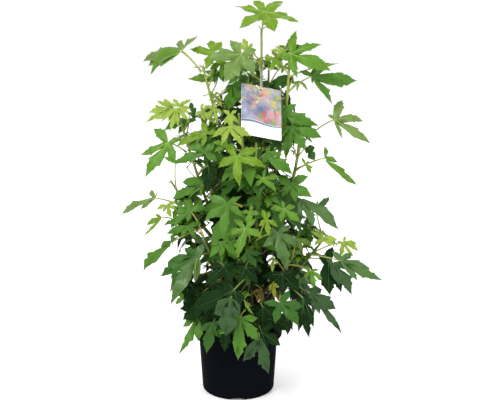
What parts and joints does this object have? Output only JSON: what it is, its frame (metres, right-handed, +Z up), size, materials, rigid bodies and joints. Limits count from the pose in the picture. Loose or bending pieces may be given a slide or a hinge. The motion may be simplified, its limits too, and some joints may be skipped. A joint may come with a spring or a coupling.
{
  "type": "potted sweetgum tree",
  "caption": "Young bushy broadleaf tree with star-shaped leaves, in a round black nursery pot with a picture card hung on its leading stem.",
  "frame": {"origin": "middle of the pot's flat underside", "axes": "+Z up along the leading stem, -Y towards the front, where the picture card faces, +X to the right seen from the front"},
  "size_m": [0.7073, 0.4844, 1.0823],
  "materials": {
    "black_plastic": "satin",
    "compost": "matte",
    "bark": "matte",
    "leaf": "satin",
    "card": "gloss",
    "thread": "matte"
  },
  "bodies": {
    "root": {"pot": "black_plastic", "compost": "compost", "trunk": "bark", "bough_leader": "bark", "bough_left_high": "bark", "bough_left_mid": "bark", "bough_left_low": "bark", "bough_right_high": "bark", "bough_right_mid": "bark", "bough_right_low": "bark", "bough_front_high": "bark", "bough_front_mid": "bark", "bough_front_low": "bark", "bough_front_left": "bark", "bough_front_right": "bark", "bough_back_high": "bark", "bough_back_left": "bark", "bough_back_right": "bark", "bough_back_low": "bark", "bough_back_low_left": "bark", "bough_back_low_right": "bark", "foliage_leader": "leaf", "foliage_left_high": "leaf", "foliage_left_mid": "leaf", "foliage_left_low": "leaf", "foliage_right_high": "leaf", "foliage_right_mid": "leaf", "foliage_right_low": "leaf", "foliage_front_high": "leaf", "foliage_front_mid": "leaf", "foliage_front_low": "leaf", "foliage_front_left": "leaf", "foliage_front_right": "leaf", "foliage_back_high": "leaf", "foliage_back_left": "leaf", "foliage_back_right": "leaf", "foliage_back_low": "leaf", "foliage_back_low_left": "leaf", "foliage_back_low_right": "leaf", "picture_card": "card", "card_thread": "thread"}
  },
  "joints": []
}
